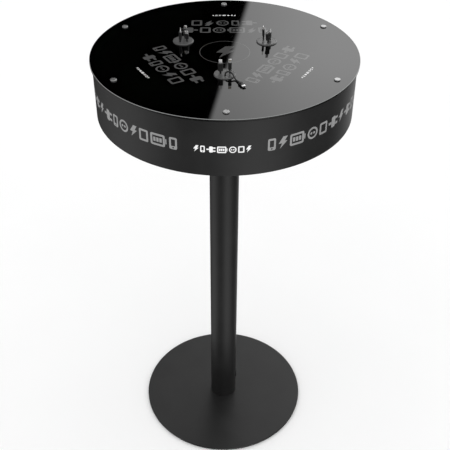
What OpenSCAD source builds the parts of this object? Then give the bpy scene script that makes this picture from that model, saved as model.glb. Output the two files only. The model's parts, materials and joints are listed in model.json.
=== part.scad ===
// Round standing-height phone charging kiosk. A foot plate and a column carry a sheet-metal drum
// with a glass top. Three grommets in the glass hold nine charging leads, whose coiled tails and
// charger sit in the drum. The origin is the centre of the foot, on the floor; -Y is the front.

/* [Overall] */
// Height of the glass surface above the floor
overall_h = 1114; // [1000:1:1200]
// Diameter of the glass top
glass_d = 596; // [580:1:640]
// Thickness of the glass
glass_t = 5; // [4:0.5:8]

/* [Foot] */
// Diameter of the foot plate
foot_d = 456; // [400:1:560]
// Thickness of the foot plate
foot_t = 6; // [5:0.5:12]
// Thickness of the rubber pads under it
pad_t = 2; // [1:0.5:4]
// Number of rubber pads
pad_count = 6; // [4:1:12]

/* [Column] */
// Outside diameter of the column tube
column_d = 73; // [66:1:90]
// Wall of the column tube
column_wall = 2; // [1.5:0.1:3]
// Height of the cord bushing above the floor
bushing_z = 72; // [60:1:200]
// Bore of the cord bushing
bushing_bore = 8; // [5:0.5:10]

/* [Drum] */
// Outside diameter of the drum wall
drum_d = 586; // [576:1:600]
// Height of the drum wall
drum_h = 127; // [122:1:140]
// Thickness of the wall sheet
sheet_t = 1.5; // [1:0.1:2]
// Thickness of the drum floor
floor_t = 2; // [1.5:0.1:3]
// Width of the hatch opening in the floor
hatch_w = 180; // [120:1:190]

/* [Glass fixings] */
// Diameter of the circle through the cap screws
cap_pcd = 538; // [520:1:540]
// Angle from +X to the first of them
cap_turn = 30.75; // [30:0.25:31]
// Diameter of a cap screw's head
cap_d = 14; // [12:0.5:18]
// Height of a cap screw's head
cap_h = 2.6; // [2:0.1:4]

/* [Grommets] */
// Distance from the axis to a grommet's centre
grommet_r = 109.3; // [105:0.1:115]
// Diameter of a grommet's flange
grommet_d = 47; // [46:0.5:54]

/* [Leads] */
// Diameter of a charging lead
lead_d = 3.2; // [2.8:0.1:3.6]
// How far a lead pulls out before its stop bead meets the guide
lead_travel = 60; // [40:1:64]
// Outside diameter of a coiled tail
coil_d = 14; // [12:0.5:14.5]

/* [Hidden] */
GROMMETS = ["front", "right", "left"];
GROMMET_AZ = [-90, 30, 150];
PLUGS = ["broad", "narrow", "oval"];
LOOSE = "front_oval";
LEADS = [for (g = GROMMETS, p = PLUGS) str(g, "_", p)];
$fn = 96;

// Levels, from the floor up
plate_z = pad_t;
plate_top = plate_z + foot_t;
glass_bottom = overall_h - glass_t;
seal_t = 2;
wall_top = glass_bottom - seal_t;
wall_z = wall_top - drum_h;
floor_z = wall_z + sheet_t;
floor_top = floor_z + floor_t;
head_t = 5;
head_z = floor_z - head_t;
// Radii
column_r = column_d / 2;
bore_r = column_r - column_wall;
wall_r = drum_d / 2;
lip_r = wall_r - 12;
floor_r = wall_r - sheet_t - 0.5;
rim_screw_r = wall_r - 7;
// Fasteners
play = 0.05;
m4_r = 2;
m6_r = 3;
m8_r = 4;
foot_pcd = 44;
head_pcd = 120;
screw_count = 12;
// Hatch
hatch_y0 = 112;
hatch_y1 = 212;
door_lap = 7;
pin_y = 221;
pin_z = wall_z - 3.3;
pin_r = 1.5;
leaf_screws = [-60, -20, 20, 60];
knuckle_r = 3;
knuckle_l = 30;
lock_y = 134;
cam_r = 5;
// Grommets and guides: a guide's holes are placed as [along the rim, outwards], and each guide
// can be turned in its ring
hole_r = 21;
ring_top = overall_h + 2.8;
guide_top = overall_h + 2.5;
guide_z = overall_h - 14;
guide_holes = [[-9, -2], [11, -2], [1, 9.5]];
guide_turn = [1, 1, -1];
guide_hole_r = 2.5;
// Leads
bead_top = guide_z - lead_travel - 0.5;
bead_h = 6;
bead_r = 3.6;
coil_z0 = floor_top + 1;
coil_z1 = bead_top - bead_h - 2;
coil_turn_r = (coil_d - lead_d) / 2;
// Plugs, in the order of PLUGS: level of a standing body's foot, then sizes of bodies and tips
plug_z = [overall_h + 8.5, overall_h + 11, overall_h + 8];
plug_w = [11.4, 7.7, 9.6];
plug_t = [6.8, 5.2, 5.6];
plug_h = [17, 15.8, 12.5];
tip_w = [7.2, 6.8, 8.2];
tip_t = [2, 1.6, 2.5];
tip_h = [8.2, 8, 6.4];
boot_h = 5;
// Turn of each plug about its lead, and its small lean
plug_yaw = [[0, 4, 0], [40, 80, 75], [95, -15, -15]];
plug_lean = [[[0, 0], [0, 0], [0, 0]], [[9, -5], [7, -3], [2, -2]], [[-2, 3], [9, 5], [2, -3]]];
// Hub
hub_x0 = -215;
hub_x1 = -137;
hub_y0 = -106;
hub_y1 = 50;
hub_z = floor_top + 2;
hub_h = 30;
hub_wall = 2;
port_pitch = 14;
port_y0 = -92;
port_h = 18;
port_z = floor_top + port_h;
usb_l = 28;
hub_feet = [for (x = [hub_x0 + 12, hub_x1 - 12], y = [hub_y0 - 7, hub_y1 + 7]) [x, y, 0]];
switch_x = -176;
switch_y = 26;
switch_z = hub_z + hub_h;
// Tails on the drum floor: each leaves its coil with a heading and on one side, passes its clip,
// and takes the points [x, y, height above the floor] to its port
run_h = 2.6;
clip_at = 11;
tail_heading = [[180, 135, 180], [270, 225, 270], [270, 0, 270]];
tail_side = [[-1, -1, 1], [-1, -1, 1], [1, 1, 1]];
tail_port = [[1, 2, 0], [4, 5, 3], [8, 6, 7]];
tail_ways = [
    [[[-60, -92, run_h], [-90, -80, 9]],
     [[-30, -78, run_h], [-65, -66, run_h], [-90, -64, 10]],
     [[-50, -118, run_h], [-84, -98, 8]]],
    [[[89, 0, run_h], [72, -30, run_h], [35, -40, run_h], [-50, -40, run_h], [-90, -37, 10]],
     [[73, 20, run_h], [70, -12, run_h], [50, -28, run_h], [15, -33, run_h], [-50, -32, run_h],
      [-90, -23, 10]],
     [[105, 5, run_h], [88, -35, run_h], [45, -47, run_h], [-50, -47, run_h], [-90, -50, 10]]],
    [[[-95.8, 26, 8], [-98.5, 21.5, 15]],
     [[-67, 56, run_h], [-65, 25, run_h], [-72, 2, 6], [-88, -7, 14]],
     [[-81, 24, 5], [-86, 10, 12]]]];
// The lead that lies out on the glass: its route [x, y, height above the glass] from its guide
// to its plug, and the plug's heading
loose_points = [
    [1, -118.8, 2.5], [1.3, -118.8, 6.5], [4, -118.6, 10.3], [9, -118.8, 11.6],
    [14, -120.8, 10.3], [18, -125.3, 7], [21, -131, 3.6], [24, -137, 1.9],
    [26.6, -142.2, 2.3], [29, -146.5, 2.9]];
loose_dir = -61;

// Centre of a grommet, and the places of its guide's holes
function grommet_at(g) = grommet_r * [cos(GROMMET_AZ[g]), sin(GROMMET_AZ[g])];
function outward(g) = [cos(GROMMET_AZ[g]), sin(GROMMET_AZ[g])];
function along(g) = [-sin(GROMMET_AZ[g]), cos(GROMMET_AZ[g])];
function hole_at(g, p) =
    grommet_at(g) + guide_turn[g] * (guide_holes[p][0] * along(g) + guide_holes[p][1] * outward(g));
function port_y(i) = port_y0 + port_pitch * i;
// Point on a tail, a distance along its heading from where it leaves its coil
function tail_at(g, p, d) =
    let (h = tail_heading[g][p], s = tail_side[g][p] * coil_turn_r)
        hole_at(g, p) + [d * cos(h) - s * sin(h), d * sin(h) + s * cos(h)];
function lift(points, z) = [for (q = points) [q[0], q[1], q[2] + z]];
// Smooth curve through points, n steps between each two
function spline_at(a, b, c, d, t) =
    0.5 * (2 * b + (c - a) * t + (2 * a - 5 * b + 4 * c - d) * t * t
           + (3 * b - a - 3 * c + d) * t * t * t);
function spline(pts, n) = let (k = len(pts) - 1) concat(
    [for (i = [0 : k - 1], j = [0 : n - 1])
        spline_at(pts[max(i - 1, 0)], pts[i], pts[i + 1], pts[min(i + 2, k)], j / n)],
    [pts[k]]);
function unit(v) = v / norm(v);
function tangent(p, i) = unit(p[min(i + 1, len(p) - 1)] - p[max(i - 1, 0)]);
function side_of(t, s) = unit(s - (s * t) * t);
function frames(p, i, s) = i == len(p) ? [] :
    let (f = side_of(tangent(p, i), s)) concat([f], frames(p, i + 1, f));

// A round tube along a smooth curve through the points
module sweep(points, r, steps = 2, sides = 8) {
    p = spline(points, steps);
    s = frames(p, 0, abs(tangent(p, 0)[0]) < 0.9 ? [1, 0, 0] : [0, 1, 0]);
    n = len(p);
    rings = [for (i = [0 : n - 1], k = [0 : sides - 1])
        let (t = tangent(p, i), u = s[i], v = cross(t, u), a = 360 * k / sides)
            p[i] + r * (cos(a) * u + sin(a) * v)];
    walls = [for (i = [0 : n - 2], k = [0 : sides - 1])
        let (a = i * sides + k, b = i * sides + (k + 1) % sides)
            [a, a + sides, b + sides, b]];
    first_cap = [for (k = [0 : sides - 1]) k];
    last_cap = [for (k = [sides - 1 : -1 : 0]) (n - 1) * sides + k];
    polyhedron(rings, concat(walls, [first_cap, last_cap]));
}

module ring_of(n, r, a0 = 0) {
    for (i = [0 : n - 1]) rotate(a0 + 360 * i / n) translate([r, 0, 0]) children();
}

module tube_z(r_out, r_in, z0, z1) {
    translate([0, 0, z0]) difference() {
        cylinder(r = r_out, h = z1 - z0);
        translate([0, 0, -1]) cylinder(r = r_in, h = z1 - z0 + 2);
    }
}

module rod_z(r, z0, z1) {
    translate([0, 0, z0]) cylinder(r = r, h = z1 - z0);
}

// Hexagon bar with across-flats size af
module hex_z(af, z0, z1) {
    translate([0, 0, z0]) cylinder(r = af / 2 / cos(30), h = z1 - z0, $fn = 6);
}

// Pan-head screw pointing up, with its head's bearing face at z
module pan_screw_up(r, z, length) {
    rod_z(r, z, z + length);
    difference() {
        rotate_extrude()
            polygon([[0, z], [2 * r, z], [2 * r, z - 0.6 * r], [1.7 * r, z - r], [0, z - 1.2 * r]]);
        for (a = [0, 90]) rotate(a)
            translate([-r, -0.2 * r, z - 1.2 * r - 0.1]) cube([2 * r, 0.4 * r, 0.7 * r]);
    }
}

// Flat bar with half-round edges, w wide and t thick, standing h high on z = 0
module round_bar(w, t, h) {
    translate([-(w - t) / 2, -t / 2, 0]) cube([w - t, t, h]);
    for (x = [-1, 1]) translate([x * (w - t) / 2, 0, 0]) cylinder(r = t / 2, h = h);
}

module foot_plate() {
    color([0.13, 0.13, 0.14])
    difference() {
        rotate_extrude() polygon([
            [0, plate_z], [foot_d / 2 - 1, plate_z], [foot_d / 2, plate_z + 1],
            [foot_d / 2, plate_top - 1], [foot_d / 2 - 1, plate_top], [0, plate_top]]);
        ring_of(4, foot_pcd / 2, 45) {
            rod_z(m8_r + 0.5, plate_z - 1, plate_top + 1);
            translate([0, 0, plate_z - 0.01]) cylinder(r1 = 8.6, r2 = m8_r + 0.5, h = 4.1);
        }
    }
}

module foot_pads() {
    color([0.05, 0.05, 0.05])
    ring_of(pad_count, foot_d / 2 - 26) rod_z(12, 0, pad_t);
}

module foot_bolts() {
    color([0.35, 0.35, 0.36])
    ring_of(4, foot_pcd / 2, 45) difference() {
        rotate_extrude() polygon([
            [0, plate_z + 0.2], [8, plate_z + 0.2], [8, plate_z + 0.5],
            [m8_r, plate_z + 4.5], [m8_r, plate_top + 11], [3.2, plate_top + 12],
            [0, plate_top + 12]]);
        hex_z(5, plate_z, plate_z + 3);
    }
}

module column_foot() {
    color([0.45, 0.45, 0.46])
    difference() {
        rod_z(bore_r - play, plate_top, plate_top + 14);
        ring_of(4, foot_pcd / 2, 45) rod_z(m8_r + play, plate_top - 1, plate_top + 15);
    }
}

module column_tube() {
    color([0.12, 0.12, 0.13])
    difference() {
        tube_z(column_r, bore_r, plate_top, head_z);
        translate([0, 0, bushing_z]) rotate([0, 90, 0]) cylinder(r = 8, h = column_d);
    }
}

module column_head() {
    color([0.12, 0.12, 0.13])
    difference() {
        rotate_extrude() polygon([
            [25, head_z], [column_r, head_z], [column_r, head_z - 4], [column_r + 4, head_z],
            [75, head_z], [75, floor_z], [25, floor_z]]);
        ring_of(4, head_pcd / 2) rod_z(m8_r + 0.5, head_z - 1, floor_z + 1);
    }
}

module head_bolts() {
    color([0.7, 0.7, 0.72])
    ring_of(4, head_pcd / 2) {
        tube_z(8, m8_r + 0.2, floor_top, floor_top + 1.6);
        rod_z(m8_r, head_z - 12, floor_top + 1.7);
        hex_z(13, floor_top + 1.6, floor_top + 6.9);
        tube_z(8, m8_r + 0.2, head_z - 1.6, head_z);
        difference() {
            hex_z(13, head_z - 8.1, head_z - 1.6);
            rod_z(m8_r + play, head_z - 9, head_z);
        }
    }
}

module cord_bushing() {
    color([0.04, 0.04, 0.04])
    translate([0, 0, bushing_z]) difference() {
        union() {
            rotate([0, 90, 0]) cylinder(r = 7.95, h = column_r + 2);
            difference() {
                rotate([0, 90, 0]) cylinder(r = 10.5, h = column_r + 2);
                translate([0, 0, -20]) cylinder(r = column_r, h = 40);
            }
            intersection() {
                rotate([0, 90, 0]) cylinder(r = 10, h = column_r);
                translate([0, 0, -20]) cylinder(r = bore_r, h = 40);
            }
        }
        translate([-1, -20, -20]) cube([bore_r - 3.5, 40, 40]);
        rotate([0, 90, 0]) cylinder(r = bushing_bore / 2, h = column_d);
    }
}

module drum_wall() {
    color([0.16, 0.16, 0.17])
    difference() {
        rotate_extrude($fn = 180) polygon([
            [lip_r, wall_z], [wall_r - 1, wall_z], [wall_r, wall_z + 1], [wall_r, wall_top - 1],
            [wall_r - 1, wall_top], [lip_r, wall_top], [lip_r, wall_top - sheet_t],
            [wall_r - sheet_t, wall_top - sheet_t], [wall_r - sheet_t, floor_z], [lip_r, floor_z]]);
        ring_of(screw_count, rim_screw_r, 15) rod_z(m4_r + 0.3, wall_z - 1, floor_z + 1);
    }
}

module drum_floor() {
    color([0.2, 0.2, 0.21])
    difference() {
        rod_z(floor_r, floor_z, floor_top);
        rod_z(25, floor_z - 1, floor_top + 1);
        ring_of(4, head_pcd / 2) rod_z(m8_r + 0.5, floor_z - 1, floor_top + 1);
        ring_of(screw_count, rim_screw_r, 15) rod_z(m4_r + play, floor_z - 1, floor_top + 1);
        ring_of(6, cap_pcd / 2, cap_turn) rod_z(m6_r + 0.3, floor_z - 1, floor_top + 1);
        translate([-hatch_w / 2, hatch_y0, floor_z - 1])
            cube([hatch_w, hatch_y1 - hatch_y0, floor_t + 2]);
        for (x = leaf_screws) translate([x, pin_y + 11, 0])
            rod_z(m4_r + play, floor_z - 1, floor_top + 1);
        for (p = hub_feet) translate(p) rod_z(m4_r + play, floor_z - 1, floor_top + 1);
    }
}

module floor_screws() {
    color([0.6, 0.6, 0.62]) {
        ring_of(screw_count, rim_screw_r, 15) pan_screw_up(m4_r, wall_z, 7);
        ring_of(6, cap_pcd / 2, cap_turn) pan_screw_up(m6_r, floor_z, 13);
        for (x = leaf_screws) translate([x, pin_y + 11, 0]) pan_screw_up(m4_r, wall_z, 6);
    }
}

module knuckles(first, sign) {
    for (i = [first : 2 : 4]) translate([-75 + 30 * i + 0.2, 0, 0]) difference() {
        union() {
            translate([0, pin_y, pin_z]) rotate([0, 90, 0])
                cylinder(r = knuckle_r, h = knuckle_l - 0.4);
            translate([0, min(pin_y, pin_y + sign * 6), pin_z])
                cube([knuckle_l - 0.4, 6, wall_z - pin_z + 0.2]);
        }
        translate([-1, pin_y, pin_z]) rotate([0, 90, 0]) cylinder(r = pin_r + play, h = 40);
    }
}

module hatch_door() {
    color([0.15, 0.15, 0.16]) {
        difference() {
            translate([-hatch_w / 2 - door_lap, hatch_y0 - door_lap, wall_z])
                cube([hatch_w + 2 * door_lap, pin_y - 2 - hatch_y0 + door_lap, sheet_t]);
            translate([0, lock_y, 0]) rod_z(7.05, wall_z - 1, floor_z + 1);
        }
        knuckles(1, -1);
    }
}

module hatch_leaf() {
    color([0.3, 0.3, 0.31]) {
        difference() {
            translate([-75, pin_y + 1, wall_z]) cube([150, 20, sheet_t]);
            for (x = leaf_screws) translate([x, pin_y + 11, 0])
                rod_z(m4_r + 0.3, wall_z - 1, floor_z + 1);
        }
        knuckles(0, 1);
    }
}

module hatch_pin() {
    color([0.7, 0.7, 0.72])
    translate([-76.5, pin_y, pin_z]) rotate([0, 90, 0]) cylinder(r = pin_r, h = 153);
}

module lock_body() {
    color([0.75, 0.75, 0.77])
    translate([0, lock_y, 0]) {
        difference() {
            union() {
                rotate_extrude() polygon([
                    [0, wall_z], [10, wall_z], [10, wall_z - 1.5], [9, wall_z - 2.6],
                    [0, wall_z - 2.6]]);
                rod_z(7, wall_z - 0.1, floor_z + 2.9);
            }
            rod_z(cam_r + play, wall_z - 4, floor_z + 4);
        }
        difference() {
            hex_z(20, floor_z, floor_z + 2.5);
            rod_z(7.05, floor_z - 1, floor_z + 4);
        }
    }
}

module lock_cam() {
    color([0.8, 0.8, 0.82])
    translate([0, lock_y, 0]) {
        difference() {
            rod_z(cam_r, wall_z - 2.4, floor_z + 3.2);
            translate([-3, -0.5, wall_z - 3]) cube([6, 1, 3]);
        }
        translate([-7, -6, floor_z + 3.1]) cube([38, 12, 2]);
        translate([31, 0, 0]) rod_z(6, floor_z + 3.1, floor_z + 5.1);
        hex_z(8, floor_z + 5, floor_z + 8);
    }
}

module glass_top() {
    color([0.03, 0.03, 0.035])
    difference() {
        rotate_extrude($fn = 180) polygon([
            [0, glass_bottom], [glass_d / 2 - 0.8, glass_bottom], [glass_d / 2, glass_bottom + 0.8],
            [glass_d / 2, overall_h - 0.8], [glass_d / 2 - 0.8, overall_h], [0, overall_h]]);
        ring_of(6, cap_pcd / 2, cap_turn) rod_z(m6_r + 1, glass_bottom - 1, overall_h + 1);
        ring_of(3, grommet_r, -90) rod_z(hole_r, glass_bottom - 1, overall_h + 1);
    }
}

module glass_seals() {
    color([0.06, 0.06, 0.06]) {
        tube_z(wall_r - 2, lip_r + 1, wall_top, glass_bottom);
        ring_of(6, cap_pcd / 2, cap_turn) tube_z(7.6, m6_r + 1, glass_bottom - 0.8, glass_bottom);
    }
}

module glass_posts() {
    color([0.7, 0.7, 0.72])
    ring_of(6, cap_pcd / 2, cap_turn) difference() {
        rod_z(8, floor_top, glass_bottom - 0.8);
        rod_z(m6_r + play, floor_top - 1, floor_top + 16);
        rod_z(m6_r + play, glass_bottom - 26, glass_bottom);
    }
}

module cap_screws() {
    color([0.78, 0.78, 0.8])
    ring_of(6, cap_pcd / 2, cap_turn) rotate_extrude() polygon(concat(
        [[0, glass_bottom - 22], [2.4, glass_bottom - 22], [m6_r, glass_bottom - 21],
         [m6_r, overall_h], [cap_d / 2, overall_h], [cap_d / 2, overall_h + cap_h - 1.2]],
        [for (a = [15 : 15 : 75])
            [cap_d / 2 - 1.2 + 1.2 * cos(a), overall_h + cap_h - 1.2 + 1.2 * sin(a)]],
        [[cap_d / 2 - 1.2, overall_h + cap_h], [0, overall_h + cap_h]]));
}

module grommet_rings() {
    color([0.42, 0.42, 0.43])
    ring_of(3, grommet_r, -90) rotate_extrude() polygon([
        [17.5, overall_h - 16], [20.8, overall_h - 16], [20.8, overall_h], [grommet_d / 2, overall_h],
        [grommet_d / 2, overall_h + 1.4], [grommet_d / 2 - 1.4, ring_top], [20.2, ring_top],
        [20.2, overall_h + 1.3], [17.5, overall_h + 1.3]]);
}

module grommet_nuts() {
    color([0.3, 0.3, 0.3])
    ring_of(3, grommet_r, -90) difference() {
        tube_z(27, 20.85, glass_bottom - 6, glass_bottom);
        for (a = [0 : 45 : 135]) rotate(a)
            translate([-30, -3, glass_bottom - 7]) cube([60, 6, 4]);
    }
}

module lead_guides() {
    color([0.38, 0.38, 0.39])
    for (g = [0 : 2]) difference() {
        translate(grommet_at(g)) {
            rod_z(20, overall_h + 1.3, guide_top);
            rod_z(17.3, guide_z, overall_h + 1.4);
        }
        for (p = [0 : 2]) translate(hole_at(g, p))
            rod_z(guide_hole_r, guide_z - 1, guide_top + 1);
    }
}

module hub_case() {
    color([0.08, 0.08, 0.09])
    difference() {
        union() {
            translate([hub_x0, hub_y0, hub_z])
                cube([hub_x1 - hub_x0, hub_y1 - hub_y0, hub_h - 3]);
            for (p = hub_feet) translate(p) {
                rod_z(6.5, floor_top, hub_z + 3);
                translate([-6.5, p[1] > 0 ? -8 : 0, floor_top]) cube([13, 8, hub_z + 3 - floor_top]);
            }
        }
        translate([hub_x0 + hub_wall, hub_y0 + hub_wall, hub_z + hub_wall])
            cube([hub_x1 - hub_x0 - 2 * hub_wall, hub_y1 - hub_y0 - 2 * hub_wall, hub_h]);
        for (p = hub_feet) translate(p) rod_z(m4_r + 0.3, floor_top - 1, hub_z + 4);
        for (i = [0 : 8]) translate([hub_x1 - 5, port_y(i) - 6.3, port_z - 2.6])
            cube([10, 12.6, 5.2]);
        // Socket for the supply cord
        translate([switch_x - 8, hub_y1 - 5, port_z - 4]) cube([16, 10, 8]);
    }
}

module hub_cover() {
    color([0.1, 0.1, 0.11])
    difference() {
        union() {
            translate([hub_x0, hub_y0, hub_z + hub_h - 3])
                cube([hub_x1 - hub_x0, hub_y1 - hub_y0, 3]);
            translate([hub_x0 + 2.2, hub_y0 + 2.2, hub_z + hub_h - 5])
                cube([hub_x1 - hub_x0 - 4.4, hub_y1 - hub_y0 - 4.4, 2.1]);
        }
        translate([hub_x0 + 4.5, hub_y0 + 4.5, hub_z + hub_h - 6])
            cube([hub_x1 - hub_x0 - 9, hub_y1 - hub_y0 - 9, 3]);
        translate([switch_x - 9.2, switch_y - 6.2, hub_z + hub_h - 7]) cube([18.4, 12.4, 8]);
        for (i = [0 : 5]) translate([hub_x0 + 14, hub_y0 + 20 + 12 * i, hub_z + hub_h - 7])
            cube([30, 4, 8]);
    }
}

module hub_screws() {
    color([0.7, 0.7, 0.72])
    for (p = hub_feet) translate([p[0], p[1], 0])
        mirror([0, 0, 1]) translate([0, 0, -2 * (hub_z + 3)])
            pan_screw_up(m4_r, hub_z + 3, 7.5);
}

module hub_plugs() {
    color([0.12, 0.12, 0.12])
    for (i = [0 : 8]) translate([hub_x1, port_y(i), port_z]) difference() {
        union() {
            translate([-4.5, -6, -2.25]) cube([4.6, 12, 4.5]);
            translate([0, -6.6, -4]) cube([usb_l - 8, 13.2, 8]);
            translate([usb_l - 8.1, 0, 0]) rotate([0, 90, 0]) cylinder(r1 = 3.6, r2 = 2.3, h = 8.1);
        }
        translate([usb_l - 5, 0, 0]) rotate([0, 90, 0]) cylinder(r = lead_d / 2 + play, h = 10);
    }
}

module switch_frame() {
    color([0.05, 0.05, 0.05])
    translate([switch_x, switch_y, switch_z]) difference() {
        union() {
            translate([-9, -6, -10]) cube([18, 12, 10]);
            translate([-11, -7.5, 0]) cube([22, 15, 1.6]);
        }
        translate([-7.4, -4.6, -8.5]) cube([14.8, 9.2, 12]);
        translate([0, -7, -1]) rotate([-90, 0, 0]) cylinder(r = 1 + play, h = 14);
    }
}

// Rocker on its cross pin, pressed down at the +X end
module switch_rocker() {
    color([0.6, 0.08, 0.06])
    translate([switch_x, switch_y, switch_z - 1]) {
        translate([0, -5, 0]) rotate([-90, 0, 0]) cylinder(r = 1, h = 10);
        translate([0, 4.2, 0]) rotate([90, 0, 0]) rotate(-8) linear_extrude(height = 8.4)
            polygon([[-6.8, 1], [-6.6, 3.4], [-3, 2.9], [0, 2.7], [3, 2.9], [6.6, 3.4], [6.8, 1],
                     [2.6, -2.6], [-2.6, -2.6]]);
    }
}

// Each tail leaves its coil on the drum floor, passes its clip and rises to its plug in the hub
module lead_tails() {
    color([0.06, 0.06, 0.06])
    for (g = [0 : 2], p = [0 : 2]) {
        y = port_y(tail_port[g][p]);
        end_x = hub_x1 + usb_l - 4.8;
        start = [for (d = [0, 6, 9, 13, 16]) let (q = tail_at(g, p, d)) [q[0], q[1], run_h]];
        finish = [[end_x + 9, y, port_h], [end_x + 4, y, port_h], [end_x, y, port_h]];
        sweep(lift(concat(start, tail_ways[g][p], finish), floor_top), lead_d / 2, 2, 6);
    }
}

module tail_clips() {
    color([0.1, 0.1, 0.1])
    for (g = [0 : 2], p = [0 : 2]) translate(tail_at(g, p, clip_at))
        rotate(tail_heading[g][p]) difference() {
            translate([-2.5, -3.2, floor_top]) cube([5, 6.4, 5.4]);
            translate([-3, 0, floor_top + run_h]) rotate([0, 90, 0])
                cylinder(r = lead_d / 2 + play, h = 6);
        }
}

// Metal tip that stands in a plug, with z = 0 at the plug's front face
module tip_shape(p) {
    translate([0, 0, -4]) round_bar(tip_w[p], tip_t[p], tip_h[p] + 4);
}

// Moulded plug with its front face at z = 0 and its boot's end at z = -plug_h - boot_h
module plug_shape(p) {
    difference() {
        union() {
            translate([0, 0, -plug_h[p]]) round_bar(plug_w[p], plug_t[p], plug_h[p]);
            translate([0, 0, -plug_h[p] - boot_h])
                cylinder(r1 = lead_d / 2 + 0.5, r2 = plug_t[p] / 2, h = boot_h + 0.1);
        }
        translate([0, 0, -4.1]) round_bar(tip_w[p] + 0.1, tip_t[p] + 0.1, 5);
    }
}

module on_lead(g, p) {
    lean = plug_lean[g][p];
    translate([hole_at(g, p)[0], hole_at(g, p)[1], plug_z[p]])
        rotate([lean[0], lean[1], 0]) rotate(plug_yaw[g][p])
            translate([0, 0, plug_h[p]]) children();
}

module on_glass(p) {
    end = loose_points[len(loose_points) - 1];
    translate([end[0], end[1], end[2] + overall_h]) rotate(loose_dir) rotate([0, 90, 0])
        rotate(90) translate([0, 0, plug_h[p] + boot_h]) children();
}

module tip(g, p) {
    color([0.85, 0.85, 0.86])
    if (LEADS[3 * g + p] == LOOSE) on_glass(p) tip_shape(p);
    else on_lead(g, p) tip_shape(p);
}

module plug(g, p) {
    color([0.12, 0.12, 0.12])
    if (LEADS[3 * g + p] == LOOSE) on_glass(p) plug_shape(p);
    else {
        on_lead(g, p) plug_shape(p);
        translate(hole_at(g, p)) {
            rod_z(lead_d / 2, coil_z1, plug_z[p] + 0.5);
            rod_z(bead_r, bead_top - bead_h, bead_top);
        }
    }
}

// Coiled tail; the loose lead's is stretched and carries its own stop bead and straight stretch
module coil(g, p) {
    color([0.07, 0.07, 0.07])
    translate(hole_at(g, p))
    if (LEADS[3 * g + p] == LOOSE) {
        rod_z(coil_d / 2, coil_z0, coil_z1 + lead_travel);
        rod_z(lead_d / 2, coil_z1 + lead_travel, guide_top);
        rod_z(bead_r, bead_top - bead_h + lead_travel, bead_top + lead_travel);
    }
    else rod_z(coil_d / 2, coil_z0, coil_z1);
}

module loose_cord() {
    color([0.08, 0.08, 0.08])
    sweep(lift(loose_points, overall_h), lead_d / 2, 3, 8);
}

foot_plate();
foot_pads();
foot_bolts();
column_foot();
column_tube();
column_head();
head_bolts();
cord_bushing();
drum_wall();
drum_floor();
floor_screws();
hatch_door();
hatch_leaf();
hatch_pin();
lock_body();
lock_cam();
glass_top();
glass_seals();
glass_posts();
cap_screws();
grommet_rings();
grommet_nuts();
lead_guides();
hub_case();
hub_cover();
hub_screws();
hub_plugs();
switch_frame();
switch_rocker();
lead_tails();
tail_clips();
loose_cord();
for (g = [0 : 2], p = [0 : 2]) {
    tip(g, p);
    plug(g, p);
    coil(g, p);
}
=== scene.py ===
"""The looks of the round phone charging kiosk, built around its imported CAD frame.

Everything is in metres in the CAD frame: +Z up, -Y the front, the floor at z = 0.
"""

import json
import math

import bmesh
import bpy
from mathutils import Matrix, Vector


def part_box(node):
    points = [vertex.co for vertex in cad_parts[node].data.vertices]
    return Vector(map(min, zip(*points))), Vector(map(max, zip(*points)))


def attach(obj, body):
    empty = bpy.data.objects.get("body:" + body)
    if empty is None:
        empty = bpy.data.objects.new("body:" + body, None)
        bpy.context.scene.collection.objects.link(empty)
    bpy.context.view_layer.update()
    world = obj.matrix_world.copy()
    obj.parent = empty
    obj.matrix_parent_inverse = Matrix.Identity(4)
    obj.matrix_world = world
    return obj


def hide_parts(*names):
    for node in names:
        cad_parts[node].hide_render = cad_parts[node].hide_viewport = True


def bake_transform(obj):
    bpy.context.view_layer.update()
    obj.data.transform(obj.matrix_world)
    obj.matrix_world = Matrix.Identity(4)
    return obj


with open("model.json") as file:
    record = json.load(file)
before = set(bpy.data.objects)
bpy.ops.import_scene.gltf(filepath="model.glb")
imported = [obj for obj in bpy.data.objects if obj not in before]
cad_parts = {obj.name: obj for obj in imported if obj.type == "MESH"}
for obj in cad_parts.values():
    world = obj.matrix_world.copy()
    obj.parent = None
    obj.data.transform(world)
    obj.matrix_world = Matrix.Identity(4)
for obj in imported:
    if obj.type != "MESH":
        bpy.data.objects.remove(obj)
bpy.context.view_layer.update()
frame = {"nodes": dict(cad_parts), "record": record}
MM = 0.001

# ---------------------------------------------------------------- sizes, from the frame and part.scad
LEVELS = {n: (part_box(n)[0].z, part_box(n)[1].z) for n in frame["nodes"]}
GLASS_Z = LEVELS["glass_top"][1]
GLASS_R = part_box("glass_top")[1].x
DRUM_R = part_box("drum_wall")[1].x
DRUM_TOP = LEVELS["drum_wall"][1]
GUIDE_TOP = LEVELS["lead_guides"][1]
GROMMETS = {"front": -90, "right": 30, "left": 150}
PLUGS = ["broad", "narrow", "oval"]
LOOSE = "front_oval"
LEAD_R = 1.6 * MM
BEAD_R, BEAD_H = 3.6 * MM, 6 * MM
LEAD_TRAVEL = 60 * MM
# Each plug as in part.scad: foot above the glass, body and tip as (width, thickness, height)
PLUG_FOOT = {"broad": 8.5 * MM, "narrow": 11 * MM, "oval": 8 * MM}
PLUG_BODY = {"broad": (11.4, 6.8, 17), "narrow": (7.7, 5.2, 15.8), "oval": (9.6, 5.6, 12.5)}
TIP_SIZE = {"broad": (7.2, 2, 8.2), "narrow": (6.8, 1.6, 8), "oval": (8.2, 2.5, 6.4)}
BOOT_H = 5
# Turn about its lead and small lean of each standing plug, in degrees
PLUG_YAW = {"front": (0, 4, 0), "right": (40, 80, 75), "left": (95, -15, -15)}
PLUG_LEAN = {"front": ((0, 0), (0, 0), (0, 0)), "right": ((9, -5), (7, -3), (2, -2)),
             "left": ((-2, 3), (9, 5), (2, -3))}
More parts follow.
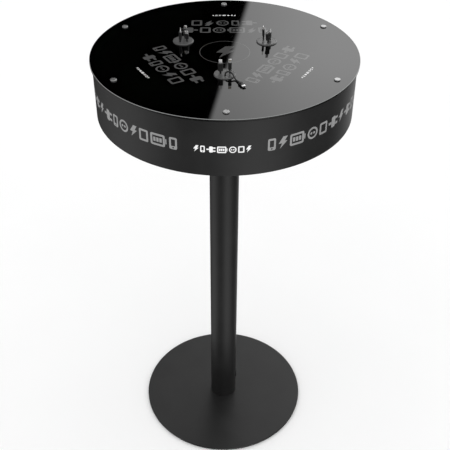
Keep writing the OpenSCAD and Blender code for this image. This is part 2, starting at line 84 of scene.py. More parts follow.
# Heading and side of each tail where it leaves its coil
TAIL_HEADING = {"front": (180, 135, 180), "right": (270, 225, 270), "left": (270, 0, 270)}
TAIL_SIDE = {"front": (-1, -1, 1), "right": (-1, -1, 1), "left": (1, 1, 1)}
# A coil's turns, the points to a turn, and the sides of its wire
COIL_TURNS, LOOSE_TURNS = 8.5, 12.5
COIL_STEPS, WIRE_SIDES = 24, 10
# The lead that lies out on the glass: its route (x, y, height above the glass), in millimetres
LOOSE_ROUTE = [
    (1, -118.8, 2.5), (1.3, -118.8, 6.5), (4, -118.6, 10.3), (9, -118.8, 11.6),
    (14, -120.8, 10.3), (18, -125.3, 7), (21, -131, 3.6), (24, -137, 1.9),
    (26.6, -142.2, 2.3), (29, -146.5, 2.9)]
LOOSE_HEADING = -61
# The pale band painted on the glass's top edge chamfer as a painted reflection of its bright polished rim:
# its width in from the rim, and its depth from the top
EDGE_REFLECTION_WIDTH, EDGE_REFLECTION_DEPTH = 0.85 * MM, 0.95 * MM
# Prints: their thickness, and how far each is sunk so that it meets its surface
PRINT_T, PRINT_SINK = 0.09 * MM, 0.02 * MM
PRINT_SLICE = 6 * MM

# ---------------------------------------------------------------- mesh tools


def build(name, verts, faces, material, slot, sharp=40):
    """A mesh object with smooth faces, and sharp edges over an angle in degrees."""
    mesh = bpy.data.meshes.new(name)
    mesh.from_pydata([tuple(v) for v in verts], [], faces)
    bm = bmesh.new()
    bm.from_mesh(mesh)
    bmesh.ops.recalc_face_normals(bm, faces=bm.faces)
    bm.to_mesh(mesh)
    bm.free()
    mesh.shade_smooth()
    mesh.set_sharp_from_angle(angle=math.radians(sharp))
    mesh.materials.append(material)
    piece = bpy.data.objects.new(name, mesh)
    bpy.context.scene.collection.objects.link(piece)
    return piece


def loft(rings):
    """Vertices and faces of a closed form through rings of as many points each."""
    n = len(rings[0])
    verts = [Vector(p) for ring in rings for p in ring]
    faces = [(i * n + k, i * n + (k + 1) % n, (i + 1) * n + (k + 1) % n, (i + 1) * n + k)
             for i in range(len(rings) - 1) for k in range(n)]
    faces.append(tuple(range(n)))
    faces.append(tuple(range((len(rings) - 1) * n, len(rings) * n)))
    return verts, faces


def joined(*forms):
    """Several (vertices, faces) as one."""
    verts, faces = [], []
    for v, f in forms:
        faces += [tuple(i + len(verts) for i in face) for face in f]
        verts += v
    return verts, faces


def moved(form, matrix):
    return [matrix @ Vector(v) for v in form[0]], form[1]


def round_outline(w, t, r, z=0.0, steps=5):
    """Outline of a rectangle with round corners, w wide and t thick, at height z."""
    r = min(r, w / 2 - 1e-6, t / 2 - 1e-6)
    points = []
    for corner in range(4):
        cx = (w / 2 - r) * (1 if corner in (0, 3) else -1)
        cy = (t / 2 - r) * (1 if corner < 2 else -1)
        for i in range(steps + 1):
            a = math.radians(90 * corner + 90 * i / steps)
            points.append(Vector((cx + r * math.cos(a), cy + r * math.sin(a), z)))
    return points


def circle(r, z, n=24):
    return [Vector((r * math.cos(math.tau * i / n), r * math.sin(math.tau * i / n), z))
            for i in range(n)]


def smooth_route(points, steps):
    """Catmull-Rom curve through the points."""
    pts = [Vector(p) for p in points]
    out = []
    for i in range(len(pts) - 1):
        a, b = pts[max(i - 1, 0)], pts[i]
        c, d = pts[i + 1], pts[min(i + 2, len(pts) - 1)]
        for j in range(steps):
            t = j / steps
            out.append(0.5 * (2 * b + (c - a) * t + (2 * a - 5 * b + 4 * c - d) * t ** 2
                              + (3 * b - a - 3 * c + d) * t ** 3))
    return out + [pts[-1]]


def tube(points, radius, sides=12):
    """A round tube along points; radius is one number, or one for each point."""
    radii = radius if isinstance(radius, list) else [radius] * len(points)
    side = Vector((1, 0, 0)) if abs((points[1] - points[0]).normalized().x) < 0.9 else Vector((0, 1, 0))
    rings = []
    for i, p in enumerate(points):
        along = (points[min(i + 1, len(points) - 1)] - points[max(i - 1, 0)]).normalized()
        side = (side - along * side.dot(along)).normalized()
        up = along.cross(side)
        rings.append([p + radii[i] * (math.cos(a) * side + math.sin(a) * up)
                      for a in (math.tau * k / sides for k in range(sides))])
    return loft(rings)


# ---------------------------------------------------------------- materials


class Nodes:
    """Short calls for the nodes of one material or world."""

    def __init__(self, tree):
        self.tree = tree

    def add(self, kind, **values):
        node = self.tree.nodes.new(kind)
        for key, value in values.items():
            setattr(node, key, value)
        return node

    def link(self, a, b):
        if hasattr(a, "is_output"):
            self.tree.links.new(a, b)
        else:
            b.default_value = a

    def math(self, operation, a, b=0.0, c=0.0, clamp=False):
        node = self.add("ShaderNodeMath", operation=operation, use_clamp=clamp)
        for value, socket in zip((a, b, c), node.inputs):
            self.link(value, socket)
        return node.outputs[0]

    def smooth(self, value, low, high, to_low=0.0, to_high=1.0):
        node = self.add("ShaderNodeMapRange", interpolation_type="SMOOTHSTEP")
        for socket, v in zip(node.inputs, (value, low, high, to_low, to_high)):
            self.link(v, socket)
        return node.outputs[0]

    def mix(self, factor, a, b):
        node = self.add("ShaderNodeMix", data_type="RGBA")
        self.link(factor, node.inputs[0])
        for value, socket in ((a, node.inputs[6]), (b, node.inputs[7])):
            self.link(value if hasattr(value, "is_output") else (*value, 1), socket)
        return node.outputs[2]

    def blend(self, factor, a, b):
        node = self.add("ShaderNodeMix", data_type="FLOAT")
        for value, socket in zip((factor, a, b), (node.inputs[0], node.inputs[2], node.inputs[3])):
            self.link(value, socket)
        return node.outputs[0]

    def noise(self, scale, detail=3.0, stretch=(1, 1, 1)):
        place = self.add("ShaderNodeTexCoord").outputs["Object"]
        if stretch != (1, 1, 1):
            mapping = self.add("ShaderNodeMapping")
            self.link(place, mapping.inputs["Vector"])
            mapping.inputs["Scale"].default_value = stretch
            place = mapping.outputs["Vector"]
        node = self.add("ShaderNodeTexNoise")
        self.link(place, node.inputs["Vector"])
        node.inputs["Scale"].default_value = scale
        node.inputs["Detail"].default_value = detail
        return node.outputs[0]


def grey(value, tint=(1, 1, 1)):
    return tuple(value * t for t in tint)


def surface(name, dark, light, rough, grain=(900, 0.02), mottle=14, metallic=0.0, stretch=(1, 1, 1),
            **sockets):
    """A material: colour between dark and light and roughness between two values, both by a soft
    mottle, with a fine grain as (scale, depth in mm)."""
    material = bpy.data.materials.new(name)
    material.use_nodes = True
    nodes = Nodes(material.node_tree)
    shader = material.node_tree.nodes["Principled BSDF"]
    shader.inputs["Metallic"].default_value = metallic
    for key, value in sockets.items():
        shader.inputs[key.replace("_", " ")].default_value = value
    soft = nodes.smooth(nodes.noise(mottle, 5.0), 0.32, 0.68)
    fine = nodes.noise(grain[0], 4.0, stretch)
    nodes.link(nodes.mix(soft, dark, light), shader.inputs["Base Color"])
    nodes.link(nodes.blend(nodes.math("ADD", nodes.math("MULTIPLY", soft, 0.5),
                                      nodes.math("MULTIPLY", fine, 0.5)), *rough),
               shader.inputs["Roughness"])
    bump = nodes.add("ShaderNodeBump")
    bump.inputs["Strength"].default_value = 1.0
    bump.inputs["Distance"].default_value = grain[1] * MM
    nodes.link(fine, bump.inputs["Height"])
    nodes.link(bump.outputs[0], shader.inputs["Normal"])
    return material


def glass_surface():
    """Back-painted glass: near black and mirror-smooth, with a pale grey painted on the chamfer round its top
    edge as a painted reflection of its bright polished rim.
    """
    material = surface("black_glass", grey(0.0002), grey(0.0006), (0.012, 0.03), grain=(5, 0.0), mottle=9)
    nodes = Nodes(material.node_tree)
    shader = material.node_tree.nodes["Principled BSDF"]
    place = nodes.add("ShaderNodeSeparateXYZ")
    nodes.link(nodes.add("ShaderNodeTexCoord").outputs["Object"], place.inputs[0])
    radius = nodes.math("SQRT", nodes.math("ADD", nodes.math("POWER", place.outputs[0], 2.0),
                                           nodes.math("POWER", place.outputs[1], 2.0)))
    # Painted reflection: the chamfer round the top edge gets a pale grey and a rougher finish, standing in
    # for the bright line that the polished edge reflects.
    outer = nodes.math("GREATER_THAN", radius, GLASS_R - EDGE_REFLECTION_WIDTH)
    upper = nodes.math("GREATER_THAN", place.outputs[2], GLASS_Z - EDGE_REFLECTION_DEPTH)
    painted_edge_reflection = nodes.math("MULTIPLY", outer, upper)
    colour = shader.inputs["Base Color"].links[0].from_socket
    rough = shader.inputs["Roughness"].links[0].from_socket
    nodes.link(nodes.mix(painted_edge_reflection, colour, grey(0.26, (0.97, 1, 0.99))), shader.inputs["Base Color"])
    nodes.link(nodes.blend(painted_edge_reflection, rough, 0.3), shader.inputs["Roughness"])
    return material


MATERIALS = {
    "powder_coat": surface("powder_coat", grey(0.010), grey(0.013), (0.33, 0.42), grain=(1100, 0.012)),
    "black_glass": glass_surface(),
    "rubber": surface("rubber", grey(0.012), grey(0.02), (0.6, 0.8), grain=(1600, 0.03)),
    "zinc": surface("zinc", grey(0.42), grey(0.6), (0.25, 0.42), grain=(700, 0.01), mottle=160, metallic=1.0),
    "raw_steel": surface("raw_steel", grey(0.22), grey(0.32), (0.3, 0.5), grain=(500, 0.02), mottle=90,
                         metallic=1.0, stretch=(1, 1, 12)),
    "chrome": surface("chrome", grey(0.6), grey(0.68), (0.06, 0.14), grain=(400, 0.002), mottle=120,
                      metallic=1.0),
    "satin_chrome": surface("satin_chrome", grey(0.34), grey(0.4), (0.2, 0.28), grain=(1500, 0.006),
                            mottle=200, metallic=0.72),
    "grommet_grey": surface("grommet_grey", grey(0.08), grey(0.092), (0.2, 0.28), grain=(1300, 0.006),
                            mottle=110),
    "black_plastic": surface("black_plastic", grey(0.012), grey(0.018), (0.42, 0.58), grain=(1400, 0.03)),
    "red_plastic": surface("red_plastic", (0.3, 0.012, 0.01), (0.42, 0.02, 0.014), (0.2, 0.3),
                           grain=(800, 0.01), mottle=60),
    "plug_plastic": surface("plug_plastic", grey(0.014), grey(0.02), (0.3, 0.42), grain=(1500, 0.015),
                            mottle=90),
    "tip_metal": surface("tip_metal", grey(0.86), grey(0.96), (0.2, 0.3), grain=(900, 0.004), mottle=300,
                         metallic=0.8),
    "contact_gold": surface("contact_gold", (0.62, 0.4, 0.1), (0.8, 0.56, 0.18), (0.2, 0.3),
                            grain=(900, 0.002), mottle=400, metallic=1.0),
    "lead_jacket": surface("lead_jacket", grey(0.012), grey(0.018), (0.38, 0.5), grain=(1300, 0.015),
                           mottle=80),
    "print_grey": surface("print_grey", grey(0.27), grey(0.3), (0.4, 0.5), grain=(1200, 0.006), mottle=40),
    "print_white": surface("print_white", grey(0.9), grey(0.96), (0.35, 0.45), grain=(1200, 0.006),
                           mottle=40),
    "print_dim": surface("print_dim", grey(0.066), grey(0.078), (0.015, 0.03), grain=(5, 0.0), mottle=30),
    "print_line": surface("print_line", grey(0.06), grey(0.07), (0.015, 0.03), grain=(5, 0.0), mottle=30)}

for part in frame["record"]["subparts"]:
    node = frame["nodes"][part["node"]]
    node.data.materials.clear()
    node.data.materials.append(MATERIALS[part["material_slot"]])

# Eased edges on the frame's own pieces: width in millimetres
EASED = {"foot_plate": 1.2, "column_head": 0.8, "column_foot": 0.6, "head_bolts": 0.4, "foot_bolts": 0.4,
         "cord_bushing": 0.5, "drum_wall": 0.4, "drum_floor": 0.4, "floor_screws": 0.3, "hatch_door": 0.6,
         "hatch_leaf": 0.5, "hatch_pin": 0.2, "lock_body": 0.4, "lock_cam": 0.3, "glass_posts": 0.4,
         "grommet_rings": 0.25, "grommet_nuts": 0.5, "lead_guides": 0.2, "hub_case": 1.2, "hub_cover": 0.8,
         "hub_screws": 0.3, "hub_plugs": 0.6, "switch_frame": 0.4, "switch_rocker": 0.3, "tail_clips": 0.4,
         "foot_pads": 0.3}
for name, width in EASED.items():
    ease = frame["nodes"][name].modifiers.new("eased_edges", "BEVEL")
    ease.width = width * MM
    ease.segments = 2
    ease.limit_method = "ANGLE"
    ease.angle_limit = math.radians(40)
    ease.harden_normals = True

# ---------------------------------------------------------------- camera
camera = bpy.data.objects.new("camera", bpy.data.cameras.new("camera"))
bpy.context.scene.collection.objects.link(camera)
camera.data.sensor_width = 36
camera.data.lens = 63.98
camera.location = (0.0023, -1.6384, 1.8883)
camera.rotation_euler = (Matrix.Rotation(math.radians(90 - 37.507), 3, "X")
                         @ Matrix.Rotation(math.radians(0.294), 3, "Z")).to_euler()
bpy.context.scene.camera = camera

# ---------------------------------------------------------------- the lead on the glass
loose_line = smooth_route([(x * MM, y * MM, z * MM + GLASS_Z) for x, y, z in LOOSE_ROUTE], 6)
loose_cord = build("loose_lead", *tube(loose_line, LEAD_R, 16), MATERIALS["lead_jacket"], "lead_jacket")
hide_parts("loose_cord")
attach(loose_cord, "stand")

# ---------------------------------------------------------------- plugs and tips


def plug_form(kind):
    """A moulded plug with its front face at z = 0: rounded body with a waist, grip ribs on its two
    flat sides and a ringed boot."""
    w, t, h = (x * MM for x in PLUG_BODY[kind])
    boot = BOOT_H * MM
    corner = t * 0.42
    heights = [(0, -0.9), (0, -0.25), (-0.12, 0), (-0.28, 0), (-0.42, -0.35), (-0.72, -0.35),
               (-0.86, 0), (-0.95, -0.2), (-1, -1.1)]
    body = [round_outline(w + s * MM, t + s * MM, corner, k * h - (0.35 * MM if i == 1 else 0))
            for i, (k, s) in enumerate(heights)]
    n = len(body[0])
    rings = 4
    sleeve = [circle(t / 2 - 0.7 * MM, -h + 0.3 * MM, n)]
    for i in range(rings):
        r = t / 2 - 0.75 * MM - (t / 2 - 0.75 * MM - LEAD_R - 0.45 * MM) * (i + 0.5) / rings
        top, step = -h - boot * i / rings, boot / rings
        sleeve += [circle(r - 0.28 * MM, top - 0.12 * step, n), circle(r, top - 0.3 * step, n),
                   circle(r, top - 0.82 * step, n), circle(r - 0.28 * MM, top - step, n)]
    sleeve.append(circle(LEAD_R * 0.9, -h - boot, n))
    ribs = []
    for side in (-1, 1):
        for i in range(4):
            z = -h * (0.48 + 0.06 * i)
            rib = loft([round_outline(w * 0.55, h * 0.028, h * 0.013, 0),
                        round_outline(w * 0.55 - 0.3 * MM, h * 0.02, h * 0.009, 0.22 * MM)])
            place = (Matrix.Translation((0, side * (t / 2 - 0.19 * MM), z))
                     @ Matrix.Rotation(math.radians(-90 * side), 4, "X"))
            ribs.append(moved(rib, place))
    return joined(loft(body), loft(sleeve), *ribs)


def shell_form(w, t, h, corner, wall):
    """A metal shell open at its top, as one closed skin with a floor inside."""
    rings = [round_outline(w, t, corner, -4 * MM), round_outline(w, t, corner, h - 0.3 * MM),
             round_outline(w - 0.3 * MM, t - 0.3 * MM, corner, h),
             round_outline(w - 2 * wall + 0.2 * MM, t - 2 * wall + 0.2 * MM, corner - wall, h),
             round_outline(w - 2 * wall, t - 2 * wall, corner - wall, h - 0.3 * MM),
             round_outline(w - 2 * wall, t - 2 * wall, corner - wall, 0.8 * MM)]
    return loft(rings)


def slab(w, t, z0, z1, ease=0.15):
    """A small block with eased top edges."""
    e = ease * MM
    return loft([round_outline(w, t, e, z0), round_outline(w, t, e, z1 - e),
                 round_outline(w - 1.4 * e, t - 1.4 * e, e * 0.6, z1)])


def tip_forms(kind):
    """The metal of a plug's tip, and its other parts as (name, form, material)."""
    w, t, h = (x * MM for x in TIP_SIZE[kind])
    if kind == "narrow":
        blade = loft([round_outline(w, t, t / 2, -4 * MM), round_outline(w, t, t / 2, h - 1.1 * MM),
                      round_outline(w - 0.5 * MM, t - 0.2 * MM, t / 2, h - 0.4 * MM),
                      round_outline(w - 1.8 * MM, t - 0.9 * MM, t / 4, h)])
        pads = []
        for side in (-1, 1):
            for i in range(8):
                pad = slab(0.42 * MM, 2.6 * MM, 0, 0.05 * MM, 0.03)
                x = (i - 3.5) * w * 0.098
                place = (Matrix.Translation((x, side * t / 2, h - 3.2 * MM))
                         @ Matrix.Rotation(math.radians(-90 * side), 4, "X"))
                pads.append(moved(pad, place))
        return blade, joined(*pads), "contact_gold"
    corner = t / 2 if kind == "oval" else 0.5 * MM
    tongue = slab(w * 0.72, t * 0.28, 0.6 * MM, h - 1.0 * MM)
    return shell_form(w, t, h, corner, 0.35 * MM), tongue, "black_plastic"


def standing_place(grommet, kind, hole):
    """Where a standing plug is: part.scad's place, lean and turn."""
    i = PLUGS.index(kind)
    lean = [math.radians(a) for a in PLUG_LEAN[grommet][i]]
    return (Matrix.Translation((hole.x, hole.y, GLASS_Z + PLUG_FOOT[kind]))
            @ Matrix.Rotation(lean[1], 4, "Y") @ Matrix.Rotation(lean[0], 4, "X")
            @ Matrix.Rotation(math.radians(PLUG_YAW[grommet][i]), 4, "Z")
            @ Matrix.Translation((0, 0, PLUG_BODY[kind][2] * MM)))


def lying_place(kind):
    """Where the loose plug lies, in line with the end of its lead."""
    return (Matrix.Translation(loose_line[-1]) @ Matrix.Rotation(math.radians(LOOSE_HEADING), 4, "Z")
            @ Matrix.Rotation(math.radians(90), 4, "Y") @ Matrix.Rotation(math.radians(90), 4, "Z")
            @ Matrix.Translation((0, 0, (PLUG_BODY[kind][2] + BOOT_H) * MM)))


def bead_form(hole, top):
    """The stop bead, a turned form on the lead's axis."""
    ease = 1.2 * MM
    radii = [(LEAD_R * 0.9, 0), (BEAD_R - ease, 0), (BEAD_R - ease * 0.3, ease * 0.3), (BEAD_R, ease)]
    rings = [circle(r, top - BEAD_H + z) for r, z in radii] + [circle(r, top - z) for r, z in radii[::-1]]
    return moved(loft(rings), Matrix.Translation((hole.x, hole.y, 0)))


def flatter_wire(form, points, z0, z1):
    """A coil's wire, lower where pulling the lead out stretches it most: the stretch raises it again."""
    verts, faces = form
    for i, p in enumerate(points):
        t = min(max((p.z - z0) / (z1 - z0), 0), 1)
        stretch = 1 + LEAD_TRAVEL * 6 * t * (1 - t) / (z1 - z0)
        for v in verts[i * WIRE_SIDES:(i + 1) * WIRE_SIDES]:
            v.z = p.z + (v.z - p.z) / math.sqrt(stretch)
    return verts, faces


def coil_line(grommet, kind, hole, z0, z1, turns):
    """Centreline of a coiled tail, from where its tail leaves it to the straight lead above it."""
    i = PLUGS.index(kind)
    side = TAIL_SIDE[grommet][i]
    turn_r = (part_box(f"coil_{grommet}_{kind}")[1].x - hole.x) - LEAD_R
    a0 = math.radians(TAIL_HEADING[grommet][i] + 90 * side)
    count = round(turns * COIL_STEPS)
    low, high = z0 + LEAD_R, z1 - 3 * LEAD_R
    points = []
    for k in range(count + 1):
        a = a0 + side * math.tau * k / COIL_STEPS
        points.append(Vector((hole.x + turn_r * math.cos(a), hole.y + turn_r * math.sin(a),
                              low + (high - low) * k / count)))
    for k in range(1, 9):
        a = a0 + side * math.tau * (count + 1.2 * k) / COIL_STEPS
        r = turn_r * (1 - (k / 8) ** 1.5)
        points.append(Vector((hole.x + r * math.cos(a), hole.y + r * math.sin(a),
                              high + (z1 - high) * (k / 8) ** 1.6)))
    return points


for grommet in GROMMETS:
    for kind in PLUGS:
        lead = f"{grommet}_{kind}"
        low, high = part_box(f"coil_{lead}")
        hole = (low + high) / 2
        coil_top = LEVELS["coil_front_broad"][1]
        if lead == LOOSE:
            place, body = lying_place(kind), "stand"
            coil_top += LEAD_TRAVEL
        else:
            place, body = standing_place(grommet, kind, hole), "lead_" + lead
        straight_top = GUIDE_TOP if lead == LOOSE else GLASS_Z + PLUG_FOOT[kind] + 0.5 * MM
        straight = tube([Vector((hole.x, hole.y, coil_top - 0.5 * MM)),
                         Vector((hole.x, hole.y, straight_top))], LEAD_R, 16)
        bead_drop = 0.5 * MM if lead == LOOSE else LEAD_TRAVEL + 0.5 * MM
        bead = bead_form(hole, LEVELS["lead_guides"][0] - bead_drop)
        turns = LOOSE_TURNS if lead == LOOSE else COIL_TURNS
        wire = coil_line(grommet, kind, hole, low.z, coil_top, turns)
        coil = tube(wire, LEAD_R, WIRE_SIDES)
        plug_body = moved(plug_form(kind), place)
        if lead == LOOSE:
            coil = joined(coil, straight, bead)
        else:
            coil = flatter_wire(coil, wire, low.z, coil_top)
            plug_body = joined(plug_body, straight, bead)
        plug = build(f"{lead}_plug", *plug_body, MATERIALS["plug_plastic"], "plug_plastic")
        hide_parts(f"plug_{lead}")
        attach(plug, body)
        metal, inner, inner_material = tip_forms(kind)
        tip = build(f"{lead}_tip", *moved(metal, place), MATERIALS["tip_metal"], "tip_metal")
        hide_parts(f"tip_{lead}")
        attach(tip, body)
        core = build(f"{lead}_contacts", *moved(inner, place), MATERIALS[inner_material],
                     "tip_metal" if kind == "narrow" else "black_plastic")
        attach(core, body)
        wound = build(f"{lead}_coil", *coil, MATERIALS["lead_jacket"], "lead_jacket")
        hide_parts(f"coil_{lead}")
        if lead == LOOSE:
            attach(wound, "stand")
        else:
            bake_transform(wound)

# ---------------------------------------------------------------- printed pictograms
# A pictogram is a list of outlines in units of its height; an outline inside another is a hole.


def box_outline(x0, y0, x1, y1, r=0.0, steps=4):
    if r <= 0:
        return [(x0, y0), (x1, y0), (x1, y1), (x0, y1)]
    centres = [(x1 - r, y0 + r, -90), (x1 - r, y1 - r, 0), (x0 + r, y1 - r, 90), (x0 + r, y0 + r, 180)]
    corners = [(cx, cy, math.radians(a + 90 * i / steps)) for cx, cy, a in centres for i in range(steps + 1)]
    return [(cx + r * math.cos(a), cy + r * math.sin(a)) for cx, cy, a in corners]


def disc_outline(cx, cy, r, steps=28):
    turns = [math.tau * i / steps for i in range(steps)]
    return [(cx + r * math.cos(a), cy + r * math.sin(a)) for a in turns]


def bolt():
    return 0.72, [[(0.36, 1), (0.72, 1), (0.5, 0.62), (0.72, 0.62), (0.12, 0), (0.28, 0.44), (0, 0.44)]]


def phone():
    w = 0.62
    return w, [box_outline(0, 0, w, 1, 0.13), box_outline(0.15, 0.27, w - 0.15, 0.83, 0.03),
               box_outline(w / 2 - 0.07, 0.08, w / 2 + 0.07, 0.19, 0.04)]


def tablet():
    w = 0.84
    return w, [box_outline(0, 0, w, 1, 0.12), box_outline(0.17, 0.17, w - 0.17, 0.83, 0.03)]


def battery():
    w = 1.36
    bars = [box_outline(x, 0.32, x + 0.2, 0.68, 0.02) for x in (0.25, 0.51, 0.77)]
    return w, [box_outline(0, 0, w - 0.13, 1, 0.14), box_outline(0.17, 0.17, w - 0.3, 0.83, 0.04),
               box_outline(w - 0.1, 0.28, w, 0.72, 0.03)] + bars


def plug_sign():
    return 1.2, [box_outline(0, 0.4, 0.34, 0.6), box_outline(0.36, 0.04, 0.86, 0.96, 0.14),
                 box_outline(0.88, 0.16, 1.2, 0.36, 0.03), box_outline(0.88, 0.64, 1.2, 0.84, 0.03)]


def socket():
    return 1.0, [disc_outline(0.5, 0.5, 0.5), disc_outline(0.5, 0.5, 0.35),
                 disc_outline(0.36, 0.5, 0.1, 14), disc_outline(0.64, 0.5, 0.1, 14)]


SIGNS = {"bolt": bolt, "phone": phone, "tablet": tablet, "battery": battery, "plug": plug_sign,
         "socket": socket}


def sign_row(names, length, height):
    """Outlines of a row of pictograms that fills a length, centred on the origin."""
    drawn = [SIGNS[n]() for n in names]
    gap = (length / height - sum(w for w, _ in drawn)) / max(len(drawn) - 1, 1)
    x = -length / height / 2
    outlines = []
    for w, shapes in drawn:
        outlines += [[((x + px) * height, (py - 0.5) * height) for px, py in shape] for shape in shapes]
        x += w + gap
    return outlines


def flat_form(name, outlines, thickness):
    """A thin closed form of the outlines, as a bmesh that lies from z = 0 up."""
    curve = bpy.data.curves.new(name, "CURVE")
    curve.dimensions = "2D"
    curve.fill_mode = "BOTH"
    curve.extrude = thickness / 2
    for outline in outlines:
        spline = curve.splines.new("POLY")
        spline.points.add(len(outline) - 1)
        for point, (x, y) in zip(spline.points, outline):
            point.co = (x, y, 0, 1)
        spline.use_cyclic_u = True
    holder = bpy.data.objects.new(name, curve)
    bpy.context.scene.collection.objects.link(holder)
    mesh = bpy.data.meshes.new_from_object(holder.evaluated_get(bpy.context.evaluated_depsgraph_get()))
    bpy.data.objects.remove(holder)
    bpy.data.curves.remove(curve)
    bm = bmesh.new()
    bm.from_mesh(mesh)
    bpy.data.meshes.remove(mesh)
    bmesh.ops.remove_doubles(bm, verts=bm.verts, dist=1e-6)
    bmesh.ops.translate(bm, verts=bm.verts, vec=(0, 0, thickness / 2))
    return bm


def printed(name, outlines, place, material, slices=0.0):
    """A print: the outlines laid on the object by place(x, y, height), cut into slices where the
    surface is curved."""
    bm = flat_form(name, outlines, PRINT_T)
    if slices:
        left = min(v.co.x for v in bm.verts)
        right = max(v.co.x for v in bm.verts)
        for i in range(1, int((right - left) / slices) + 1):
            bmesh.ops.bisect_plane(bm, geom=bm.verts[:] + bm.edges[:] + bm.faces[:], dist=1e-7,
                                   plane_co=(left + i * slices, 0, 0), plane_no=(1, 0, 0))
    for v in bm.verts:
        v.co = place(*v.co)
    bmesh.ops.recalc_face_normals(bm, faces=bm.faces)
    mesh = bpy.data.meshes.new(name)
    bm.to_mesh(mesh)
    bm.free()
    mesh.materials.append(MATERIALS[material])
    piece = bpy.data.objects.new(name, mesh)
    bpy.context.scene.collection.objects.link(piece)
    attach(piece, "stand")
    return piece


def on_drum(angle, z):
    """Lays a print round the drum, centred at an angle and a height."""
    def place(x, y, height):
        a = math.radians(angle) + x / DRUM_R
        r = DRUM_R + height - PRINT_SINK
        return Vector((r * math.cos(a), r * math.sin(a), z + y))
    return place


def on_glass(angle, radius):
    """Lays a print on the glass with its foot outwards, centred at an angle and a radius."""
    a = math.radians(angle)
    out, along = Vector((math.cos(a), math.sin(a), 0)), Vector((-math.sin(a), math.cos(a), 0))
    def place(x, y, height):
        return (radius - y) * out + x * along + Vector((0, 0, GLASS_Z + height - PRINT_SINK))
    return place


SHORT_ROW = ["phone", "bolt", "battery", "socket", "tablet", "plug"]
OTHER_ROW = ["plug", "phone", "socket", "bolt", "tablet"]
MARK_ROW = ["bolt", "phone", "plug", "battery", "socket", "tablet", "bolt"]
LONG_ROW = SHORT_ROW + ["bolt"] + OTHER_ROW + ["battery", "phone"]
# The prints sit a little off the grommets' angles, as does the glass on the drum
DRUM_TURN = -0.75
GLASS_TURN = 0.75
for i, angle in enumerate((-30, 90, 210)):
    on_wall = on_drum(angle + DRUM_TURN, DRUM_TOP - 61 * MM)
    printed(f"drum_signs_{i}", sign_row(LONG_ROW, math.radians(84) * DRUM_R, 27.5 * MM), on_wall,
            "print_grey", slices=PRINT_SLICE)
    for name, row, radius, length, height, ink in (
            ("signs_inner", SHORT_ROW, 0.1165, 0.195, 0.03, "print_dim"),
            ("signs_outer", OTHER_ROW, 0.157, 0.155, 0.03, "print_dim"),
            ("mark", MARK_ROW, 0.2015, 0.056, 0.0055, "print_white")):
        printed(f"glass_{name}_{i}", sign_row(row, length, height), on_glass(angle + GLASS_TURN, radius), ink)
for i, angle in enumerate(GROMMETS.values()):
    on_wall = on_drum(angle + DRUM_TURN, DRUM_TOP - 64 * MM)
    printed(f"drum_mark_{i}", sign_row(MARK_ROW, math.radians(22.7) * DRUM_R, 15 * MM), on_wall,
            "print_white", slices=PRINT_SLICE)

ring = [[(r * math.cos(math.tau * k / 96), r * math.sin(math.tau * k / 96)) for k in range(96)]
        for r in (0.0564, 0.0550)]
printed("centre_ring", ring, on_glass(-90, 0), "print_line")
printed("centre_sign", sign_row(["bolt"], 0.68 * 58 * MM, 58 * MM), on_glass(-90, 0), "print_line")

# ---------------------------------------------------------------- studio: floor, world
floor_mesh = bpy.data.meshes.new("studio_floor")
floor_mesh.from_pydata(circle(14, 0, 64), [], [tuple(range(64))])
floor = bpy.data.objects.new("studio_floor", floor_mesh)
bpy.context.scene.collection.objects.link(floor)
floor_mesh.materials.append(surface("pale_floor", grey(0.94), grey(0.95), (0.8, 0.9),
                                    grain=(40, 0.0), mottle=2))
floor.visible_glossy = False

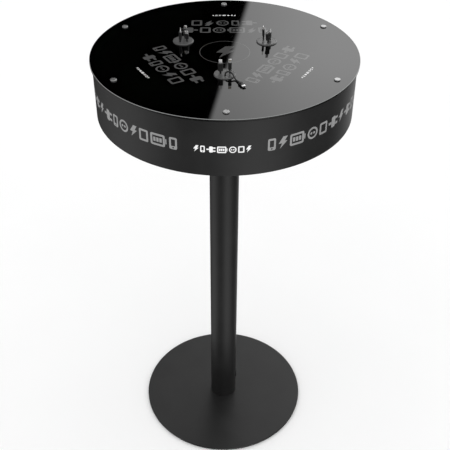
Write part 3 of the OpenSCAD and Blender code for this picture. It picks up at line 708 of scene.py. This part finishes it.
# The room as mirrors see it: light and dark walls by azimuth near the horizon, a bright screen with one
# slanting edge behind the kiosk, and a soft ceiling. Each pair is (share of a full turn, brightness).
ROOM_BY_AZIMUTH = [
    (0.0, 0.0), (0.08, 0.07), (0.14, 0.16), (0.2, 0.4), (0.26, 0.66), (0.32, 0.5), (0.37, 0.2),
    (0.43, 0.08), (0.48, 0.28), (0.53, 0.7), (0.58, 0.95), (0.64, 0.58), (0.7, 0.14), (0.76, 0.04),
    (0.82, 0.15), (0.87, 0.28), (0.93, 0.8), (0.97, 0.6), (1.0, 0.1)]
world = bpy.data.worlds.new("studio")
bpy.context.scene.world = world
world.use_nodes = True
world.cycles.sampling_method = "NONE"
room = Nodes(world.node_tree)
direction = room.add("ShaderNodeSeparateXYZ")
room.link(room.add("ShaderNodeTexCoord").outputs["Generated"], direction.inputs[0])
dx, dy, dz = direction.outputs
azimuth = room.math("MULTIPLY_ADD", room.math("ARCTAN2", dx, room.math("MULTIPLY", dy, -1.0)),
                    1 / math.tau, 0.5)
walls = room.add("ShaderNodeValToRGB")
ramp = walls.color_ramp
ramp.interpolation = "B_SPLINE"
for place, value in ROOM_BY_AZIMUTH[1:-1]:
    ramp.elements.new(place)
for element, (place, value) in zip(ramp.elements, ROOM_BY_AZIMUTH):
    element.position = place
    element.color = (*grey(value), 1)
room.link(azimuth, walls.inputs[0])
low_room = walls.outputs[0]
edge = room.math("ADD", room.math("ADD", dx, room.math("MULTIPLY", dy, -0.1455)),
                 room.math("MULTIPLY", dz, 0.2894))
screen_tone = room.math("MULTIPLY", room.smooth(dx, -0.05, 0.14, 1.4, 2.15),
                        room.smooth(dz, 0.36, 0.45, 0.8, 1.0))
screen = room.math("MULTIPLY", room.smooth(edge, -0.0045, 0.0045), screen_tone)
behind = room.smooth(dy, 0.1, 0.4)
screen_band = room.blend(behind, low_room, screen)
ceiling = room.smooth(dx, -0.5, 0.5, 0.4, 0.95)
upper = room.blend(room.smooth(dz, 0.58, 0.7), screen_band, ceiling)
seen_in_gloss = room.blend(room.smooth(dz, -0.05, 0.12), low_room, upper)
path = room.add("ShaderNodeLightPath")
strength = room.blend(path.outputs["Is Glossy Ray"], 1.09, seen_in_gloss)
room.link(strength, world.node_tree.nodes["Background"].inputs["Strength"])
world.node_tree.nodes["Background"].inputs["Color"].default_value = (1, 1, 1, 1)

bpy.context.scene.view_settings.view_transform = "Standard"
